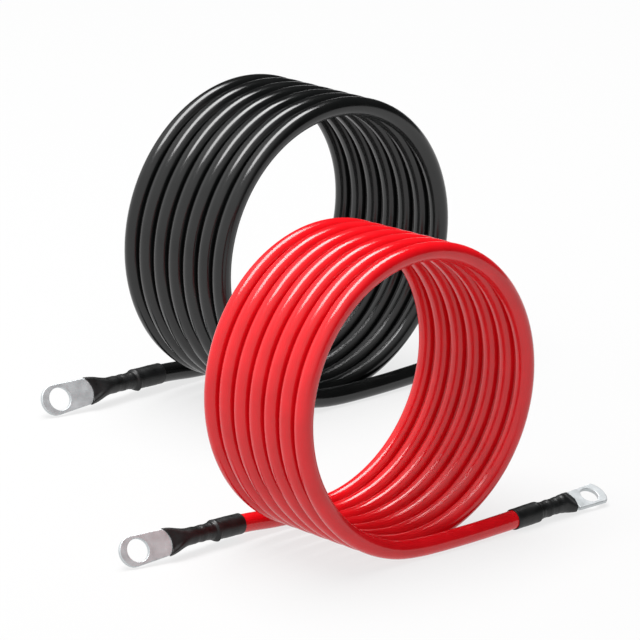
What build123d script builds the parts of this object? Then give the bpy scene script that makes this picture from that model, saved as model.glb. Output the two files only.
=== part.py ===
"""A pair of battery cables: two stranded leads, one red and one black, each wound in a neat coil
that stands on its rim, with a ring lug and a shrink sleeve on both ends.

Millimetres, +Z up. A coil's axis runs along Y. The rear tail leaves the foot of the coil towards
-X and the front tail towards +X. The origin is under the middle of the pair, on the floor.
"""

from build123d import *

import os
from math import cos, pi, radians, sin, tan

# Cable
conductor_od = 5.2
core_clearance = 0.05  # between conductor and jacket, on the radius
jacket_wall = 1.55

# Coil, measured to the cable's centre line
turns = 7
turn_gap = 1.95  # clear space between neighbouring turns
coil_radius = 64.5  # at the rear end
coil_taper = 2.1  # the front end's radius is larger by this much
ramp_steps = 12  # flat steps that stand for each end turn's slope
arc_share = 0.45  # the share of a tail's run that an arc beside it may use

# Where the black coil stands from the red one
black_offset = (114.9, 188.0, 0)

# Lug
barrel_wall = 0.8
bore_floor = 1.0
palm_thickness = 1.8
palm_drop = 1.2  # from the barrel's axis to the middle of the palm's thickness
mouth_gap = 0.6  # from the jacket's cut end to the barrel's mouth
conductor_end_gap = 0.5  # from the conductor's end to the bottom of the bore
crimp_width = 3.0
crimp_depth = 0.3
crimp_places = (0.3, 0.66)  # shares of the barrel's length
palm_overlap = 0.3  # the palm's plate starts this far inside the neck

# Shrink sleeve
sleeve_wall = 0.35
jacket_fit = 0.15  # between sleeve and jacket, on the radius
barrel_fit = 0.08  # between sleeve and lug
sleeve_step = 2.2  # length of the slope from the jacket down to the barrel
sleeve_setback = 0.4  # from the sleeve's mouth back to the end of the neck

spare = 1.0  # how far a cutter runs past what it cuts

ENDS = {
    "rear": {
        "barrel_length": 15.6,
        "neck_length": 13.5,
        "root_width": 12.2,
        "palm_width": 14.0,
        "hole_d": 10.5,
        "hole_x": 14.0,
        "tip_x": 23.0,
        "tip_bulge": 6.2,
        "corner_radius": 1.5,
        "lean": 28.0,
        "palm_bend": -16.0,
        "sleeve_on_jacket": 16.3,
    },
    "front": {
        "barrel_length": 14.4,
        "neck_length": 9.5,
        "root_width": 10.8,
        "palm_width": 11.8,
        "hole_d": 8.4,
        "hole_x": 9.8,
        "tip_x": 18.1,
        "tip_bulge": 2.4,
        "corner_radius": 1.0,
        "lean": 63.0,
        "palm_bend": 0.0,
        "sleeve_on_jacket": 13.9,
    },
}

conductor_r = conductor_od / 2
bore_r = conductor_r + core_clearance
cable_r = bore_r + jacket_wall
barrel_r = bore_r + barrel_wall
coil_pitch = 2 * cable_r + turn_gap
coil_half = turns * coil_pitch / 2  # from the coil's middle to an end turn's centre line
coil_radius_front = coil_radius + coil_taper

# Each tail's centre line, from the foot of the coil to the cut end of the jacket
ROUTES = {
    "rear": [
        (0, coil_half, cable_r),
        (-20.5, coil_half, cable_r),
        (-41, coil_half - 0.6, 6.6),
        (-60.3, coil_half - 2.2, 7.5),
    ],
    "front": [
        (0, -coil_half, cable_r),
        (21.5, -coil_half, cable_r),
        (45, 1.2 - coil_half, 4.55),
        (67.9, 2.4 - coil_half, 5.05),
    ],
}


def disc(y, turn_radius, radius):
    """A disc square to the coil's axis, centred so that a turn of that radius stands on the floor."""
    centre = (0, y, turn_radius + cable_r)
    return Plane(origin=centre, x_dir=(1, 0, 0), z_dir=(0, 1, 0)) * Circle(radius)


def ramp_step(turn_radius, reach, start, end, index):
    """One step of an end turn: a piece of ring from start to end along Y."""
    middle = (0, (start + end) / 2, cable_r)
    section = Plane(origin=middle, x_dir=(0, 1, 0), z_dir=(1, 0, 0))
    profile = section * Rectangle(abs(end - start), 2 * reach)
    axis = Axis((0, 0, turn_radius + cable_r), (0, -1, 0))
    arc = 360 / ramp_steps
    return revolve(profile.rotate(axis, index * arc), axis=axis, revolution_arc=arc)


def coil_shape(reach):
    """What the turns fill, out to reach from the cable's centre line."""
    full = coil_half + reach - coil_pitch
    outside = [
        disc(full, coil_radius, coil_radius + reach),
        disc(-full, coil_radius_front, coil_radius_front + reach),
    ]
    inside = [
        disc(full, coil_radius, coil_radius - reach),
        disc(-full, coil_radius_front, coil_radius_front - reach),
    ]
    rear_steps = []
    front_steps = []
    for index in range(ramp_steps):
        rear = full + coil_pitch * (ramp_steps - index) / ramp_steps
        front = -full - coil_pitch * (index + 1) / ramp_steps
        rear_steps.append(ramp_step(coil_radius, reach, full, rear, index))
        front_steps.append(ramp_step(coil_radius_front, reach, -full, front, index))
    rear_ramp = rear_steps[0] + rear_steps[1:]
    front_ramp = front_steps[0] + front_steps[1:]
    return loft(outside, ruled=True) - loft(inside, ruled=True) + rear_ramp + front_ramp


def corner_radii(points):
    """The largest arc that each corner's two runs allow."""
    radii = []
    for before, corner, after in zip(points, points[1:], points[2:]):
        first = Vector(*corner) - Vector(*before)
        second = Vector(*after) - Vector(*corner)
        half_turn = radians(first.get_angle(second)) / 2
        radii.append(arc_share * min(first.length, second.length) / tan(half_turn))
    return radii


def tube(points, radii, radius):
    """A round bar along straight runs joined by tangent arcs."""
    path = FilletPolyline(*points, radius=radii)
    section = Plane(origin=path @ 0, z_dir=path % 0) * Circle(radius)
    return sweep(section, path=path), path.length


def end_direction(points):
    return (Vector(*points[-1]) - Vector(*points[-2])).normalized()


def lug_plane(points, lean):
    """A lug's own frame: X out along the barrel, Z out of the palm's face."""
    along = end_direction(points)
    side = along.cross(Vector(0, 0, 1)).normalized()
    if side.Y > 0:
        side = -side
    upright = (Vector(0, 0, 1) - along * along.Z).normalized()
    face = side * cos(radians(lean)) + upright * sin(radians(lean))
    return Plane(origin=points[-1], x_dir=along, z_dir=face)


def palm_plane(size):
    """The middle of the palm's thickness, where the neck ends."""
    start = Plane(origin=(size["barrel_length"] + size["neck_length"], 0, -palm_drop))
    return start.rotated((0, -size["palm_bend"], 0))


def neck(size, grow):
    """The flattened stretch from round barrel to flat palm, grown outwards on every side."""
    barrel_end = size["barrel_length"]
    middle = barrel_end + size["neck_length"] / 2
    half_width = (barrel_r + size["root_width"] / 2) / 2
    half_height = (barrel_r + palm_thickness / 2) / 2
    facing = {"x_dir": (0, 1, 0), "z_dir": (1, 0, 0)}
    last = palm_plane(size)
    sections = [
        Plane(origin=(barrel_end, 0, 0), **facing) * Circle(barrel_r + grow),
        Plane(origin=(middle, 0, -palm_drop / 2), **facing)
        * Ellipse(half_width + grow, half_height + grow),
        Plane(origin=last.origin, x_dir=last.y_dir, z_dir=last.x_dir)
        * Ellipse(size["root_width"] / 2 + grow, palm_thickness / 2 + grow),
    ]
    return loft(sections)


def palm(size):
    """The flat plate with its stud hole."""
    half = size["palm_width"] / 2
    root = size["root_width"] / 2
    shoulder = size["tip_x"] - size["tip_bulge"]
    sides = Polyline((shoulder, -half), (-palm_overlap, -root), (-palm_overlap, root), (shoulder, half))
    tip = ThreePointArc((shoulder, half), (size["tip_x"], 0), (shoulder, -half))
    face = make_face(sides + tip)
    shoulders = face.vertices().sort_by(Axis.X)[-2:]
    face = fillet(shoulders, size["corner_radius"])
    face -= Pos(size["hole_x"], 0) * Circle(size["hole_d"] / 2)
    plate = extrude(face, palm_thickness / 2, both=True)
    return palm_plane(size) * plate


def along_x(radius, start, end):
    """A cylinder on the X axis."""
    return Plane(origin=(start, 0, 0), z_dir=(1, 0, 0)) * extrude(Circle(radius), end - start)


def lug(size):
    """Tube lug: bored barrel with two crimps, flattened neck and palm."""
    barrel_end = size["barrel_length"]
    body = along_x(barrel_r, mouth_gap, barrel_end) + neck(size, 0) + palm(size)
    for share in crimp_places:
        middle = mouth_gap + share * (barrel_end - mouth_gap)
        start = middle - crimp_width / 2
        end = middle + crimp_width / 2
        band = along_x(barrel_r + spare, start, end) - along_x(barrel_r - crimp_depth, start, end)
        body -= band
    return body - along_x(bore_r, 0, barrel_end - bore_floor)


def sleeve_shape(size, start, jacket_radius, grow):
    """The sleeve's outside or inside: over the jacket, down a slope, along the barrel and neck."""
    barrel_radius = barrel_r + grow
    slope_end = mouth_gap + sleeve_step
    barrel_end = size["barrel_length"]
    outline = Polyline(
        (start, 0),
        (start, jacket_radius),
        (mouth_gap, jacket_radius),
        (slope_end, barrel_radius),
        (barrel_end, barrel_radius),
        (barrel_end, 0),
        close=True,
    )
    turned = revolve(make_face(Plane.XZ * outline), axis=Axis.X)
    return turned + neck(size, grow)


def sleeve(size):
    """Shrink sleeve, open at both ends."""
    start = -size["sleeve_on_jacket"]
    inner_grow = barrel_fit
    outer_grow = barrel_fit + sleeve_wall
    inner_jacket = cable_r + jacket_fit
    outside = sleeve_shape(size, start, inner_jacket + sleeve_wall, outer_grow)
    inside = sleeve_shape(size, start - spare, inner_jacket, inner_grow)
    end = palm_plane(size)
    across = 2 * size["palm_width"]
    mouth = Plane(origin=end.origin, x_dir=end.y_dir, z_dir=end.x_dir) * Rectangle(across, across)
    trim = extrude(mouth, -sleeve_setback) + extrude(mouth, spare)
    return outside - inside - trim


def cable():
    """Every piece of one cable, with its coil at the origin."""
    pieces = {
        "coil_jacket": coil_shape(cable_r) - coil_shape(bore_r),
        "coil_conductor": coil_shape(conductor_r),
    }
    for end, size in ENDS.items():
        points = ROUTES[end]
        radii = corner_radii(points)
        skin, length = tube(points, radii, cable_r)
        core_space, _ = tube(points, radii, bore_r)
        depth = size["barrel_length"] - bore_floor - conductor_end_gap
        core_end = Vector(*points[-1]) + end_direction(points) * depth
        core, _ = tube([*points[:-1], tuple(core_end)], radii, conductor_r)
        expected = pi * cable_r**2 * length
        print(end, "tail radii", [round(r) for r in radii], "length", round(length, 1))
        print(end, "volume", round(skin.volume, 1), "expected", round(expected, 1))
        plane = lug_plane(points, size["lean"])
        pieces[f"{end}_tail_jacket"] = skin - core_space
        pieces[f"{end}_tail_conductor"] = core
        pieces[f"{end}_lug"] = plane * lug(size)
        pieces[f"{end}_sleeve"] = plane * sleeve(size)
    return pieces


def main():
    os.makedirs("parts", exist_ok=True)
    pieces = cable()
    nodes = {f"red_{name}": piece for name, piece in pieces.items()}
    nodes |= {f"black_{name}": Pos(*black_offset) * piece for name, piece in pieces.items()}
    box = Compound(children=[Compound(part.wrapped) for part in nodes.values()]).bounding_box()
    middle = (box.min + box.max) / 2
    to_origin = Pos(-middle.X, -middle.Y, 0)
    for name, piece in nodes.items():
        export_step(to_origin * piece, f"parts/{name}.step")
    print("red coil's middle stands at", -middle.X, -middle.Y, "lowest point", box.min.Z)


main()
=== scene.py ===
"""The looks of a pair of battery cables, one red and one black, each wound in a neat coil with a
ring lug and a shrink sleeve on both ends.

Metres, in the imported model's own frame. Lugs and sleeves are shaped in millimetres in a frame of
their own: the jacket's cut end at 0, X out along the barrel, Z out of the palm's face.
"""

from math import atan2, cos, hypot, inf, pi, radians, sin, sqrt

import bpy
from mathutils import Matrix, Vector


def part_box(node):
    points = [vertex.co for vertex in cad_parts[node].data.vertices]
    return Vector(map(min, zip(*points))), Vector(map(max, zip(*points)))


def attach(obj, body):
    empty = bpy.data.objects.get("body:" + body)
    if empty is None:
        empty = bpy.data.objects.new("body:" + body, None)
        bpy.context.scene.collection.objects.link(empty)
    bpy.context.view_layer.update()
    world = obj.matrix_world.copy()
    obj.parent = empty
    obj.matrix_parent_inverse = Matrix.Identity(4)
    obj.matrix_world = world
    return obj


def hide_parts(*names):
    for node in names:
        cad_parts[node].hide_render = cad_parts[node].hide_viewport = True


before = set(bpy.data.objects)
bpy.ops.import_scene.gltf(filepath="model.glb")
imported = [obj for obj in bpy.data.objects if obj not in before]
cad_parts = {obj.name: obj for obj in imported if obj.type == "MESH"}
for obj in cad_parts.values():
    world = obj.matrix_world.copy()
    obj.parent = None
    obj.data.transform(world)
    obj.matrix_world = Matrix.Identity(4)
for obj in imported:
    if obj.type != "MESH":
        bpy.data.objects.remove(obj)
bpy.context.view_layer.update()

MM = 0.001

# Cable
CABLE_R = 0.0042
CONDUCTOR_R = 0.0026
LAY_LENGTH = 60 * MM  # one full twist of the strands
LAY_STEP = 2.5 * MM  # between the sections of the twisted strands
STRANDS_ROUND = 6  # strands round the middle one
STRAND_SIDES = 8
TURNS = 7
POINTS_PER_TURN = 24
COIL_PITCH = 0.01035
COIL_RADIUS = 0.0645  # the cable's middle line at the rear end
COIL_TAPER = 0.0021  # how much wider the front end is
COIL_HALF = TURNS * COIL_PITCH / 2

# The tails' points after the foot of the coil, measured from the coil's middle on the floor
TAILS = {
    "rear": [
        (-0.0205, COIL_HALF, CABLE_R),
        (-0.041, COIL_HALF - 0.0006, 0.0066),
        (-0.0603, COIL_HALF - 0.0022, 0.0075),
    ],
    "front": [
        (0.0215, -COIL_HALF, CABLE_R),
        (0.045, 0.0012 - COIL_HALF, 0.00455),
        (0.0679, 0.0024 - COIL_HALF, 0.00505),
    ],
}

# Lugs and sleeves, in millimetres
BARREL_R = 3.45
BORE_R = 2.65
BORE_FLOOR = 1.0
BORE_BEVEL = 0.3
MOUTH_GAP = 0.6  # from the jacket's cut end to the barrel's mouth
NECK_REACH = 0.38  # handles of the neck's curve, as a share of the neck
NECK_SPREAD = 0.95  # how fast the neck spreads and flattens, against its length
NECK_SPREAD_POWER = 0.9
NECK_FLATTEN = 1.08
PALM_THICKNESS = 1.8
PALM_DROP = 1.2
PALM_EDGE = 0.4  # rounding of the stamped edge
PALM_LAP = 0.3  # how far the palm reaches back into the neck
CORNER_LEAD = 2.5  # how far before the tip's arc the close points begin
HOLE_EDGE = 0.7  # rounding of the hole's rims, as a share of PALM_EDGE
FLAT_LOOP = 0.15  # from the rounding to the loop that keeps the flat's shading even
CRIMP_PLACES = (0.3, 0.66)
CRIMP_DEPTH = 0.3
CRIMP_WIDTH = 3.0  # at half depth
CONDUCTOR_END_GAP = 0.5
SLEEVE_WALL = 0.35
JACKET_FIT = 0.15
BARREL_FIT = 0.08
SLEEVE_SETBACK = 0.4  # from the mouth to the palm's root
SLEEVE_DROP_AT = 0.4  # where the sleeve starts down from the jacket to the barrel
SLEEVE_DROP = 1.1  # length of that step
SLEEVE_EVEN_TO = 2.8  # the sleeve follows the crimps only beyond this
SLEEVE_DIP = 0.6  # share of a crimp's depth that it follows
FULLNESS_POWER = 0.8
RIM = 0.25  # length over which the sleeve's cut edges are rounded
RIM_MIDDLE = 0.12
RIM_WALL = 0.55  # share of the wall left at the very edge
MOUTH_PULL = 8  # length over which the mouth is drawn back
EVEN_ENDS = 3  # length over which the ripples start and stop
# Sine ripples of the shrunk skin: per mm along, per radian round, per unit of seed, height
RIPPLES = ((0.55, 2, 1.0, 0.035), (1.7, -3, 2.1, 0.012))
# The proud band over the jacket's cut end
BAND_AT = -0.3
BAND_REACH = 0.9
BAND_HEIGHT = 0.05
LIP_POWER = 6
# The crease: angle round the sleeve at the neck's start, its drift over the neck, its half width,
# and where along the neck it starts and how long it takes to rise
FOLD_ANGLE = 1.25
FOLD_DRIFT = 0.85
FOLD_REACH = 0.3
FOLD_START = 0.3
FOLD_RISE = 0.35
# In degrees: "lean" turns the palm from on edge towards lying flat, "bend" turns it back from its
# face, and "lip_at" is the lip's place round the sleeve. "on_jacket" is how much jacket the sleeve
# covers.
ENDS = {
    "rear": {
        "barrel": 15.6,
        "neck": 13.5,
        "root_width": 12.2,
        "palm_width": 14.0,
        "hole_r": 5.25,
        "hole_x": 14.0,
        "tip_x": 23.0,
        "tip_bulge": 6.2,
        "corner": 0.4,
        "lean": 28.0,
        "bend": 16.0,
        "on_jacket": 16.3,
        "mouth_curve": 2.4,
        "mouth_skew": 0.0,
        "lip": 0.8,
        "lip_at": 15.0,
        "fullness": 0.0,
        "fold": 0.45,
    },
    "front": {
        "barrel": 14.4,
        "neck": 9.5,
        "root_width": 10.8,
        "palm_width": 11.8,
        "hole_r": 4.2,
        "hole_x": 9.8,
        "tip_x": 18.1,
        "tip_bulge": 2.4,
        "corner": 0.5,
        "lean": 63.0,
        "bend": 0.0,
        "on_jacket": 13.9,
        "mouth_curve": -1.2,
        "mouth_skew": 1.6,
        "lip": 0.0,
        "lip_at": 0.0,
        "fullness": 1.0,
        "fold": 0.0,
    },
}

# Points and sections of the meshes
RING = 96  # points round a barrel or sleeve, a multiple of four
TUBE_STEPS = 90
SLEEVE_STEPS = 130
ROUNDING_STEPS = 5
SIDE_POINTS = 22
TIP_POINTS = 40
ROOT_POINTS = 24


def linear(hex_colour):
    """An sRGB hex colour as linear RGBA."""
    channels = [int(hex_colour[i : i + 2], 16) / 255 for i in (1, 3, 5)]
    return [c / 12.92 if c <= 0.04045 else ((c + 0.055) / 1.055) ** 2.4 for c in channels] + [1]


def smooth(value):
    """0 below 0, 1 above 1, and an even curve between."""
    t = min(max(value, 0.0), 1.0)
    return t * t * (3 - 2 * t)


def mix(a, b, share):
    """a at share 0 and b at share 1."""
    return a + (b - a) * share


def link(data, name):
    """An object of this data in the scene."""
    piece = bpy.data.objects.new(name, data)
    bpy.context.scene.collection.objects.link(piece)
    return piece


# Materials


def add_node(tree, kind, links=(), **settings):
    """Adds a node, sets its properties or inputs, and links (input name, output socket) pairs."""
    node = tree.nodes.new(kind)
    for name, value in settings.items():
        if name.startswith("in_"):
            node.inputs[name[3:].replace("_", " ")].default_value = value
        else:
            setattr(node, name, value)
    for name, source in links:
        tree.links.new(source, node.inputs[name])
    return node


def new_material(name, colour, **values):
    """A Principled material with constants on its shader's own sockets."""
    material = bpy.data.materials.new(name)
    material.use_nodes = True
    tree = material.node_tree
    shader = tree.nodes["Principled BSDF"]
    shader.inputs["Base Color"].default_value = linear(colour)
    for key, value in values.items():
        shader.inputs[key.replace("_", " ")].default_value = value
    return material, tree, shader


def noise(tree, place, cell, detail):
    """The value of a noise whose cells are this wide, in the units of `place`."""
    links = [("Vector", place)]
    texture = add_node(tree, "ShaderNodeTexNoise", links, in_Scale=1 / cell, in_Detail=detail)
    return texture.outputs["Fac"]


def tint(tree, shader, value, low, high):
    """Colours the surface between two (value, colour) pairs."""
    tone = add_node(tree, "ShaderNodeValToRGB", [("Fac", value)])
    for element, (position, colour) in zip(tone.color_ramp.elements, (low, high)):
        element.position = position
        element.color = linear(colour)
    tree.links.new(tone.outputs["Color"], shader.inputs["Base Color"])


def soften(tree, shader, value, least, most):
    """Lets the roughness follow a noise between two levels."""
    gloss = add_node(
        tree,
        "ShaderNodeMapRange",
        [("Value", value)],
        in_From_Min=0.3,
        in_From_Max=0.7,
        in_To_Min=least,
        in_To_Max=most,
    )
    tree.links.new(gloss.outputs["Result"], shader.inputs["Roughness"])


def emboss(tree, shader, height, strength, depth, under=None):
    """Raises the surface by a value, over another bump where one is given, and returns the bump."""
    links = [("Height", height)]
    if under:
        links.append(("Normal", under))
    bump = add_node(tree, "ShaderNodeBump", links, in_Strength=strength, in_Distance=depth)
    tree.links.new(bump.outputs["Normal"], shader.inputs["Normal"])
    return bump.outputs["Normal"]


def cable_pvc(name, colour, deep, pale):
    """Extruded soft PVC: glossy, with faint draw lines along the cable and a slow unevenness."""
    material, tree, shader = new_material(name, colour, Roughness=0.2, IOR=1.53)
    coordinates = add_node(tree, "ShaderNodeTexCoord")
    place = coordinates.outputs["Object"]
    # Uneven cooling
    blotch = noise(tree, place, 12 * MM, 3.0)
    tint(tree, shader, blotch, (0.3, deep), (0.7, pale))
    soften(tree, shader, blotch, 0.16, 0.23)
    # Orange peel under the draw lines
    peel = noise(tree, place, 1.6 * MM, 2.0)
    under = emboss(tree, shader, peel, 0.01, 0.1 * MM)
    # The UV map runs from 0 to 1 round the cable and from 0 to 1 along its whole length, so its
    # cells are far longer than wide
    maps = [("Vector", coordinates.outputs["UV"])]
    along = add_node(tree, "ShaderNodeMapping", maps, in_Scale=(14, 12, 1))
    drawn = noise(tree, along.outputs["Vector"], 1.0, 2.0)
    emboss(tree, shader, drawn, 0.02, 0.1 * MM, under)
    return material


def shrink_polyolefin():
    """Heat-shrunk polyolefin tubing: black, with a satin, finely pebbled, slightly cloudy skin."""
    material, tree, shader = new_material(
        "shrink_polyolefin", "#0C0D0E", Roughness=0.5, IOR=1.5, Specular_IOR_Level=0.4
    )
    place = add_node(tree, "ShaderNodeTexCoord").outputs["Object"]
    cloud = noise(tree, place, 6 * MM, 4.0)
    tint(tree, shader, cloud, (0.35, "#070808"), (0.7, "#121314"))
    soften(tree, shader, cloud, 0.36, 0.52)
    pebble = noise(tree, place, 0.9 * MM, 3.0)
    emboss(tree, shader, pebble, 0.25, 0.08 * MM)
    return material


def tinned_copper():
    """Electro-tinned copper tube: a pale grey metal with a soft, slightly cloudy lustre."""
    material, tree, shader = new_material("tinned_copper", "#BEC6CA", Roughness=0.5, Metallic=0.68)
    place = add_node(tree, "ShaderNodeTexCoord").outputs["Object"]
    cloud = noise(tree, place, 4 * MM, 5.0)
    tint(tree, shader, cloud, (0.3, "#BEC3C5"), (0.7, "#C8CCCE"))
    soften(tree, shader, cloud, 0.44, 0.56)
    # Plating grain, coarser than the real one so that it shows
    grain = noise(tree, place, 0.5 * MM, 3.0)
    emboss(tree, shader, grain, 0.08, 0.03 * MM)
    return material


def bare_copper():
    """Bright annealed copper wire: orange-pink metal, a little darker where it has tarnished."""
    material, tree, shader = new_material("bare_copper", "#D98A63", Roughness=0.3, Metallic=1.0)
    place = add_node(tree, "ShaderNodeTexCoord").outputs["Object"]
    tarnish = noise(tree, place, 8 * MM, 4.0)
    tint(tree, shader, tarnish, (0.35, "#B96F49"), (0.65, "#E09A74"))
    return material


# Routes


def coil_middle(colour):
    """The point on the floor under the middle of a coil."""
    low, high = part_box(f"{colour}_coil_jacket")
    middle = (low + high) / 2
    return Vector((middle.x, middle.y, 0))


def coil_points():
    """Control points of the turns, from the rear foot over the top to the front foot."""
    step = 2 * pi / POINTS_PER_TURN
    points = []
    for index in range(TURNS * POINTS_PER_TURN):
        angle = (index + 0.5) * step
        done = angle / (2 * pi * TURNS)
        radius = COIL_RADIUS + COIL_TAPER * done
        corner = radius / cos(step / 2)
        height = radius + CABLE_R - corner * cos(angle)
        points.append((corner * sin(angle), COIL_HALF - 2 * COIL_HALF * done, height))
    return points


def route_curve(name, points):
    """A curve of one smooth spline with these control points."""
    curve = bpy.data.curves.new(name, "CURVE")
    curve.dimensions = "3D"
    spline = curve.splines.new("NURBS")
    spline.points.add(len(points) - 1)
    for place, point in zip(spline.points, points):
        place.co = (*point, 1)
    spline.order_u = 3
    spline.use_endpoint_u = True
    curve.resolution_u = 6
    return curve


def cable_route(colour):
    """One cable's control points, from the rear cut end of the jacket to the front one."""
    foot = coil_middle(colour)
    points = [*reversed(TAILS["rear"]), *coil_points(), *TAILS["front"]]
    return [foot + Vector(point) for point in points]


# Cable pieces


def jacket(colour, material):
    """The insulation, from one cut end to the other."""
    points = cable_route(colour)
    curve = route_curve(f"{colour}_jacket", points)
    curve.bevel_depth = CABLE_R
    curve.bevel_resolution = 10
    curve.use_fill_caps = True
    curve.materials.append(material)
    piece = link(curve, f"{colour}_jacket")
    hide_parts(*[f"{colour}_{part}_jacket" for part in ("coil", "rear_tail", "front_tail")])
    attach(piece, f"{colour}_cable")


def strand_tree(material):
    """Geometry nodes that twist a bundle of round strands along a curve."""
    tree = bpy.data.node_groups.new("rope_lay_strands", "GeometryNodeTree")
    sockets = tree.interface
    sockets.new_socket("Geometry", in_out="INPUT", socket_type="NodeSocketGeometry")
    for name in ("Strand radius", "Circle radius", "Lay length", "Step"):
        sockets.new_socket(name, in_out="INPUT", socket_type="NodeSocketFloat")
    sockets.new_socket("Geometry", in_out="OUTPUT", socket_type="NodeSocketGeometry")
    given = add_node(tree, "NodeGroupInput")
    spaced = add_node(
        tree,
        "GeometryNodeResampleCurve",
        [("Curve", given.outputs["Geometry"]), ("Length", given.outputs["Step"])],
        mode="LENGTH",
    )
    travelled = add_node(tree, "GeometryNodeSplineParameter")
    turns = add_node(
        tree,
        "ShaderNodeMath",
        [(0, travelled.outputs["Length"]), (1, given.outputs["Lay length"])],
        operation="DIVIDE",
    )
    twist = add_node(tree, "ShaderNodeMath", [(0, turns.outputs[0])], operation="MULTIPLY")
    twist.inputs[1].default_value = 2 * pi
    tilted = add_node(
        tree,
        "GeometryNodeSetCurveTilt",
        [("Curve", spaced.outputs["Curve"]), ("Tilt", twist.outputs[0])],
    )
    strand = add_node(
        tree,
        "GeometryNodeCurvePrimitiveCircle",
        [("Radius", given.outputs["Strand radius"])],
        in_Resolution=STRAND_SIDES,
    )
    seats = add_node(
        tree,
        "GeometryNodeCurvePrimitiveCircle",
        [("Radius", given.outputs["Circle radius"])],
        in_Resolution=STRANDS_ROUND,
    )
    outer = add_node(
        tree,
        "GeometryNodeInstanceOnPoints",
        [("Points", seats.outputs["Curve"]), ("Instance", strand.outputs["Curve"])],
    )
    bundle = add_node(tree, "GeometryNodeJoinGeometry")
    tree.links.new(outer.outputs["Instances"], bundle.inputs["Geometry"])
    tree.links.new(strand.outputs["Curve"], bundle.inputs["Geometry"])
    joined = [("Geometry", bundle.outputs["Geometry"])]
    section = add_node(tree, "GeometryNodeRealizeInstances", joined)
    solid = add_node(
        tree,
        "GeometryNodeCurveToMesh",
        [("Curve", tilted.outputs["Curve"]), ("Profile Curve", section.outputs["Geometry"])],
        in_Fill_Caps=True,
    )
    real = add_node(tree, "GeometryNodeRealizeInstances", [("Geometry", solid.outputs["Mesh"])])
    painted = add_node(
        tree,
        "GeometryNodeSetMaterial",
        [("Geometry", real.outputs["Geometry"])],
        in_Material=material,
    )
    add_node(tree, "NodeGroupOutput", [("Geometry", painted.outputs["Geometry"])])
    return tree


def apply_tree(piece, tree, **values):
    """The plain mesh that a tree makes from a piece, with its named inputs set first."""
    modifier = piece.modifiers.new(tree.name, "NODES")
    modifier.node_group = tree
    for item in tree.interface.items_tree:
        key = item.name.replace(" ", "_")
        if item.in_out == "INPUT" and key in values:
            modifier[item.identifier] = values[key]
    evaluated = piece.evaluated_get(bpy.context.evaluated_depsgraph_get())
    mesh = bpy.data.meshes.new_from_object(evaluated)
    piece.modifiers.remove(modifier)
    return mesh


def conductor(colour, tree):
    """Seven twisted bundles of copper wire, seated in both lugs."""
    foot = coil_middle(colour)
    points = cable_route(colour)
    for end, index in (("rear", 0), ("front", -1)):
        depth = (ENDS[end]["barrel"] - BORE_FLOOR - CONDUCTOR_END_GAP) * MM
        points[index] = foot + Vector(TAILS[end][-1]) + end_direction(end) * depth
    route = link(route_curve(f"{colour}_conductor_route", points), f"{colour}_conductor_route")
    strand = CONDUCTOR_R / 3
    mesh = apply_tree(
        route,
        tree,
        Strand_radius=strand,
        Circle_radius=2 * strand,
        Lay_length=LAY_LENGTH,
        Step=LAY_STEP,
    )
    bpy.data.objects.remove(route)
    piece = link(mesh, f"{colour}_conductor")
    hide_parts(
        *[f"{colour}_{part}_conductor" for part in ("coil", "rear_tail", "front_tail")]
    )
    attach(piece, f"{colour}_cable")


# Lug and sleeve shapes


def end_direction(end):
    """The way a tail points at its cut end."""
    return (Vector(TAILS[end][-1]) - Vector(TAILS[end][-2])).normalized()


def end_frame(colour, end):
    """Takes a lug's own millimetres to the model's frame."""
    along = end_direction(end)
    side = along.cross(Vector((0, 0, 1))).normalized()
    if side.y > 0:
        side = -side
    upright = (Vector((0, 0, 1)) - along * along.z).normalized()
    lean = radians(ENDS[end]["lean"])
    face = side * cos(lean) + upright * sin(lean)
    turn = Matrix((along, face.cross(along), face)).transposed().to_4x4()
    origin = coil_middle(colour) + Vector(TAILS[end][-1])
    return Matrix.Translation(origin) @ turn @ Matrix.Scale(MM, 4)


def crimp_share(size, x):
    """1 in the middle of a crimp and 0 away from it."""
    share = 0.0
    for place in CRIMP_PLACES:
        middle = MOUTH_GAP + place * (size["barrel"] - MOUTH_GAP)
        share = max(share, smooth(1.5 - abs(x - middle) / (CRIMP_WIDTH / 2)))
    return share


def neck_line(size, x):
    """The middle of the lug's section at x, and how far the lug has turned there."""
    start = size["barrel"]
    bend = radians(size["bend"])
    root = Vector((start + size["neck"], 0, -PALM_DROP))
    forward = Vector((cos(bend), 0, -sin(bend)))
    if x <= start:
        return Vector((x, 0, 0)), 0.0
    if x >= start + size["neck"]:
        return root + forward * (x - start - size["neck"]), bend
    t = (x - start) / size["neck"]
    reach = NECK_REACH * size["neck"]
    corners = (Vector((start, 0, 0)), Vector((start + reach, 0, 0)), root - forward * reach, root)
    weights = ((1 - t) ** 3, 3 * t * (1 - t) ** 2, 3 * t * t * (1 - t), t**3)
    middle = sum((corner * weight for corner, weight in zip(corners, weights)), Vector())
    return middle, bend * smooth(t)


def lug_section(size, x):
    """Half width, half height and corner radius of the lug's outside at x."""
    if x <= size["barrel"]:
        radius = BARREL_R - CRIMP_DEPTH * crimp_share(size, x)
        return radius, radius, radius
    t = (x - size["barrel"]) / size["neck"]
    spread = smooth(t * NECK_SPREAD) ** NECK_SPREAD_POWER if t < 1 else 1
    wide = mix(BARREL_R, size["root_width"] / 2, spread)
    high = mix(BARREL_R, PALM_THICKNESS / 2, smooth(t * NECK_FLATTEN))
    return wide, high, high


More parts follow.
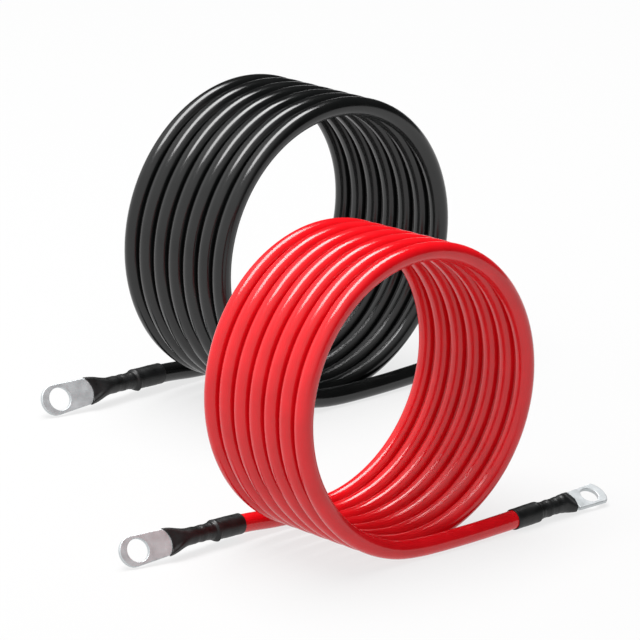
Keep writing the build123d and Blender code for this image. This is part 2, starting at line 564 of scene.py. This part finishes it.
def sleeve_section(size, x):
    """The same for the sleeve's inner wall, which also covers the jacket."""
    on_jacket = JACKET_FIT + CABLE_R / MM
    on_barrel = BARREL_R + BARREL_FIT
    if x <= SLEEVE_EVEN_TO:
        radius = mix(on_jacket, on_barrel, smooth((x - SLEEVE_DROP_AT) / SLEEVE_DROP))
        return radius, radius, radius
    if x <= size["barrel"]:
        radius = on_barrel - SLEEVE_DIP * CRIMP_DEPTH * crimp_share(size, x)
        return radius, radius, radius
    # Over the neck the tubing bridges from the barrel to the palm
    wide, high, corner = lug_section(size, x)
    t = min((x - size["barrel"]) / size["neck"], 1.0)
    bridge = BARREL_FIT + size["fullness"] * sin(pi * t) ** FULLNESS_POWER
    return wide + BARREL_FIT, high + bridge, min(corner + bridge, wide + BARREL_FIT)


def ring_place(section, index, grow=0.0):
    """Across and up of one of the points set evenly round a rounded rectangle."""
    wide, high, corner = section
    radius = corner + grow
    flat_side, flat_top = high - corner, wide - corner
    quarter, step = divmod(index, RING // 4)
    done = (step + 0.5) / (RING // 4)
    if quarter % 2:
        done = 1 - done
    travelled = done * (flat_side + radius * pi / 2 + flat_top)
    if travelled < flat_side:
        across, up = wide + grow, travelled
    elif travelled < flat_side + radius * pi / 2:
        angle = (travelled - flat_side) / radius
        across, up = flat_top + radius * cos(angle), flat_side + radius * sin(angle)
    else:
        across, up = flat_top - (travelled - flat_side - radius * pi / 2), high + grow
    return across * (1 if quarter in (0, 3) else -1), up * (1 if quarter < 2 else -1)


def ring_point(section, line, index, grow=0.0):
    """The same point set square to the line."""
    across, up = ring_place(section, index, grow)
    middle, turned = line
    return middle + Vector((up * sin(turned), across, up * cos(turned)))


def ring_faces(rings, closed=False, start=0):
    """Quads between neighbouring rings of RING points."""
    faces = []
    count = rings if closed else rings - 1
    for row in range(count):
        first = start + row * RING
        second = start + ((row + 1) % rings) * RING
        for k in range(RING):
            n = (k + 1) % RING
            faces.append((first + k, first + n, second + n, second + k))
    return faces


def lug_tube(size, points, faces):
    """Adds the barrel with its bore and the flattened neck."""
    length = size["barrel"] + size["neck"] - MOUTH_GAP
    start = len(points)
    bore = (
        (size["barrel"] - BORE_FLOOR, BORE_R),
        (MOUTH_GAP + BORE_BEVEL, BORE_R),
        (MOUTH_GAP, BORE_R + BORE_BEVEL),
    )
    for x, radius in bore:
        section = (radius, radius, radius)
        points.extend(ring_point(section, (Vector((x, 0, 0)), 0.0), k) for k in range(RING))
    for step in range(TUBE_STEPS + 1):
        x = MOUTH_GAP + length * step / TUBE_STEPS
        line = neck_line(size, x)
        points.extend(ring_point(lug_section(size, x), line, k) for k in range(RING))
    rings = len(bore) + TUBE_STEPS + 1
    faces.extend(ring_faces(rings, start=start))
    faces.append(tuple(start + k for k in reversed(range(RING))))
    last = start + (rings - 1) * RING
    faces.append(tuple(last + k for k in range(RING)))


def palm_outline(size):
    """The palm's edge as (x, y) points from the root round the tip and back, x from the root."""
    half = size["palm_width"] / 2
    root = size["root_width"] / 2
    bulge = size["tip_bulge"]
    arc = (half * half + bulge * bulge) / (2 * bulge)
    centre = size["tip_x"] - arc
    shoulder = size["tip_x"] - bulge

    def tip_edge(x):
        return sqrt(max(arc * arc - (x - centre) ** 2, 0.0))

    def edge(x):
        """The side line run into the tip's arc with a small round corner."""
        line = mix(root, half, (x + PALM_LAP) / (shoulder + PALM_LAP))
        tip = tip_edge(x) if x > centre else inf
        blend = size["corner"]
        gap = max(blend - abs(line - tip), 0) / blend
        return min(line, tip) - gap * gap * blend / 4

    first = shoulder - CORNER_LEAD
    xs = [-PALM_LAP + (first + PALM_LAP) * k / SIDE_POINTS for k in range(SIDE_POINTS)]
    widest = atan2(tip_edge(first), first - centre)
    xs += [centre + arc * cos(widest * (1 - k / TIP_POINTS)) for k in range(TIP_POINTS)]
    lower = [(x, -edge(x)) for x in xs]
    upper = [(x, edge(x)) for x in reversed(xs)]
    corner = edge(-PALM_LAP)
    back = [(-PALM_LAP, corner * (1 - 2 * k / ROOT_POINTS)) for k in range(1, ROOT_POINTS)]
    return lower + [(size["tip_x"], 0.0)] + upper + back


def inset(outline, distance):
    """The outline moved inwards."""
    count = len(outline)
    moved = []
    for k, (x, y) in enumerate(outline):
        before, after = outline[k - 1], outline[(k + 1) % count]
        dx, dy = after[0] - before[0], after[1] - before[1]
        length = hypot(dx, dy) or 1.0
        moved.append((x - dy / length * distance, y + dx / length * distance))
    return moved


def palm_plate(size, points, faces):
    """Adds the flat plate, with its edges and the hole's rims rounded."""
    outline = palm_outline(size)
    count = len(outline)
    middle, bend = neck_line(size, size["barrel"] + size["neck"])
    forward = Vector((cos(bend), 0, -sin(bend)))
    upward = Vector((sin(bend), 0, cos(bend)))
    half = PALM_THICKNESS / 2
    # Depth inwards and height of each loop from the edge up onto the flat
    rims = []
    for k in range(ROUNDING_STEPS + 1):
        angle = pi / 2 * k / ROUNDING_STEPS
        rims.append((PALM_EDGE * (1 - cos(angle)), half - PALM_EDGE * (1 - sin(angle))))
    rims.append((PALM_EDGE + FLAT_LOOP, half))
    levels = [(depth, -height) for depth, height in reversed(rims)] + rims
    start = len(points)
    loops = []
    for depth, height in levels:
        loops.append([(x, y, height) for x, y in inset(outline, depth)])
    hole_rims = [(depth * HOLE_EDGE, height) for depth, height in rims]
    hole_levels = hole_rims[::-1] + [(depth, -height) for depth, height in hole_rims]
    for depth, height in hole_levels:
        loop = []
        for x, y in outline:
            across = x - size["hole_x"]
            away = hypot(across, y)
            radius = size["hole_r"] + depth
            loop.append((size["hole_x"] + across / away * radius, y / away * radius, height))
        loops.append(loop)
    for loop in loops:
        for x, y, z in loop:
            points.append(middle + forward * x + Vector((0, y, 0)) + upward * z)
    rows = len(loops)
    for row in range(rows):
        first = start + row * count
        second = start + ((row + 1) % rows) * count
        for k in range(count):
            n = (k + 1) % count
            faces.append((first + k, first + n, second + n, second + k))


def finish_mesh(name, points, faces, place, material, sharp=35):
    """A linked piece of these points and faces, smooth but for edges over `sharp` degrees."""
    mesh = bpy.data.meshes.new(name)
    mesh.from_pydata([tuple(point) for point in points], [], faces)
    mesh.transform(place)
    mesh.validate()
    mesh.polygons.foreach_set("use_smooth", [True] * len(mesh.polygons))
    mesh.set_sharp_from_angle(angle=radians(sharp))
    mesh.materials.append(material)
    return link(mesh, name)


def lug(colour, end, material):
    """Tube lug: bored barrel, flattened neck and flat palm with its stud hole."""
    size = ENDS[end]
    points, faces = [], []
    lug_tube(size, points, faces)
    palm_plate(size, points, faces)
    name = f"{colour}_lug_{end}"
    piece = finish_mesh(name, points, faces, end_frame(colour, end), material)
    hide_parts(f"{colour}_{end}_lug")
    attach(piece, f"{colour}_cable")


def ripple(x, angle, seed):
    """How far the shrunk skin stands off its even shape."""
    return sum(
        sin(along * x + around * angle + share * seed) * height
        for along, around, share, height in RIPPLES
    )


def fold(size, x, angle):
    """How far the gathered crease stands up that runs to the palm's lower shoulder."""
    t = (x - size["barrel"]) / size["neck"]
    middle = FOLD_ANGLE - FOLD_DRIFT * t
    crest = max(1 - abs(angle - middle) / FOLD_REACH, 0)
    return size["fold"] * smooth((t - FOLD_START) / FOLD_RISE) * crest


def sleeve(colour, end, material, seed):
    """Shrink sleeve with both its walls, drawn in over the step, the crimps and the neck."""
    size = ENDS[end]
    first = -size["on_jacket"]
    last = size["barrel"] + size["neck"] - SLEEVE_SETBACK
    places = [first + (last - first) * k / SLEEVE_STEPS for k in range(SLEEVE_STEPS + 1)]
    places[1:1] = [first + RIM_MIDDLE, first + RIM]
    points = []

    def wall(x, k, grow):
        """A point of the wall, with the mouth curved and skewed across the palm."""
        section = sleeve_section(size, x)
        share = ring_place(section, k)[0] / section[0]
        curved = size["mouth_curve"] * (1 - share * share) + size["mouth_skew"] * max(-share, 0)
        x = x - curved * max((x - last + MOUTH_PULL) / MOUTH_PULL, 0) ** 2
        return ring_point(sleeve_section(size, x), neck_line(size, x), k, grow)

    for x in places:
        rim = max(min((x - first) / RIM, (last - x) / RIM, 1.0), 0)
        rounded = SLEEVE_WALL * mix(RIM_WALL, 1, sqrt(1 - (1 - rim) ** 2))
        band = smooth(1 - abs(x - BAND_AT) / BAND_REACH)
        calm = smooth((x - first) / EVEN_ENDS) * smooth((last - x) / EVEN_ENDS)
        for k in range(RING):
            angle = (k + 0.5) * 2 * pi / RING
            lip = size["lip"] * max(cos(angle - radians(size["lip_at"])), 0) ** LIP_POWER
            proud = (BAND_HEIGHT + lip) * band
            wave = ripple(x, angle, seed) * calm
            points.append(wall(x, k, rounded + proud + wave + fold(size, x, angle)))
    for x in reversed(places):
        points.extend(wall(x, k, 0.0) for k in range(RING))
    faces = ring_faces(2 * len(places), closed=True)
    name = f"{colour}_sleeve_{end}"
    piece = finish_mesh(name, points, faces, end_frame(colour, end), material, sharp=50)
    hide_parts(f"{colour}_{end}_sleeve")
    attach(piece, f"{colour}_cable")


# Stage

CAMERA_AZIMUTH = radians(-41.0)
CAMERA_ELEVATION = radians(17.5)
CAMERA_DISTANCE = 9.208
LENS = 1181.4
# From the foot of the red coil to the middle of the view, across and up in the view
AIM_RIGHT = -0.02106
AIM_UP = 0.09497
FLOOR_HALF = 30
FLOOR_GLOW = 0.76
WHITE_SIDE = Vector((-0.95, 0.1, 0.3)).normalized()


def add_camera():
    """A long lens from the front left, a little above the coils."""
    back = Vector(
        (
            sin(CAMERA_AZIMUTH) * cos(CAMERA_ELEVATION),
            -cos(CAMERA_AZIMUTH) * cos(CAMERA_ELEVATION),
            sin(CAMERA_ELEVATION),
        )
    )
    turn = (-back).to_track_quat("-Z", "Y")
    aim = coil_middle("red") + turn @ Vector((AIM_RIGHT, AIM_UP, 0))
    camera = bpy.data.cameras.new("camera")
    camera.lens = LENS
    camera.sensor_width = 36
    camera.clip_end = 40
    holder = link(camera, "camera")
    holder.location = aim + back * CAMERA_DISTANCE
    holder.rotation_euler = turn.to_euler()
    bpy.context.scene.camera = holder


def add_floor():
    """A pale floor, mostly self-lit so that the cables throw only a faint shadow."""
    corners = [(x * FLOOR_HALF, y * FLOOR_HALF, 0) for x, y in ((-1, -1), (1, -1), (1, 1), (-1, 1))]
    mesh = bpy.data.meshes.new("floor")
    mesh.from_pydata(corners, [], [(0, 1, 2, 3)])
    material = new_material(
        "pale_floor",
        "#5C5C5C",
        Roughness=1.0,
        Specular_IOR_Level=0.0,
        Emission_Color=linear("#FFFFFF"),
        Emission_Strength=FLOOR_GLOW,
    )[0]
    mesh.materials.append(material)
    link(mesh, "floor")


def add_light(name, place, aim, size, power):
    """A rectangular lamp at `place`, turned to `aim`."""
    light = bpy.data.lights.new(name, "AREA")
    light.shape = "RECTANGLE"
    light.size, light.size_y = size
    light.energy = power
    holder = link(light, name)
    holder.location = place
    holder.rotation_euler = (Vector(aim) - Vector(place)).to_track_quat("-Z", "Y").to_euler()


def add_world():
    """A white room wall on the left, falling off to a dark room on the right."""
    world = bpy.data.worlds.new("studio")
    world.use_nodes = True
    tree = world.node_tree
    background = tree.nodes["Background"]
    background.inputs["Color"].default_value = linear("#FFFFFF")
    way = add_node(tree, "ShaderNodeTexCoord").outputs["Generated"]
    leftward = add_node(tree, "ShaderNodeVectorMath", [(0, way)], operation="DOT_PRODUCT")
    leftward.inputs[1].default_value = WHITE_SIDE
    level = add_node(
        tree,
        "ShaderNodeMapRange",
        [("Value", leftward.outputs["Value"])],
        interpolation_type="SMOOTHSTEP",
        in_From_Min=-0.25,
        in_From_Max=0.55,
        in_To_Min=0.05,
        in_To_Max=1.0,
    )
    tree.links.new(level.outputs["Result"], background.inputs["Strength"])
    bpy.context.scene.world = world


tin = tinned_copper()
tubing = shrink_polyolefin()
strands = strand_tree(bare_copper())
insulation = {
    "red": cable_pvc("red_pvc", "#CB0914", "#C50712", "#D10B17"),
    "black": cable_pvc("black_pvc", "#070808", "#050606", "#0A0B0B"),
}
for number, (colour, pvc) in enumerate(insulation.items()):
    for end_number, end in enumerate(ENDS):
        lug(colour, end, tin)
        # The seeds keep the sleeves' ripples from being alike
        sleeve(colour, end, tubing, 1.3 * number + 2.9 * end_number)
    jacket(colour, pvc)
    conductor(colour, strands)

add_camera()
add_floor()
add_light("key", (-0.12, 0.3, 1.95), (0, 0, 0.07), (2.3, 0.9), 80)
add_world()
bpy.context.scene.view_settings.view_transform = "Standard"
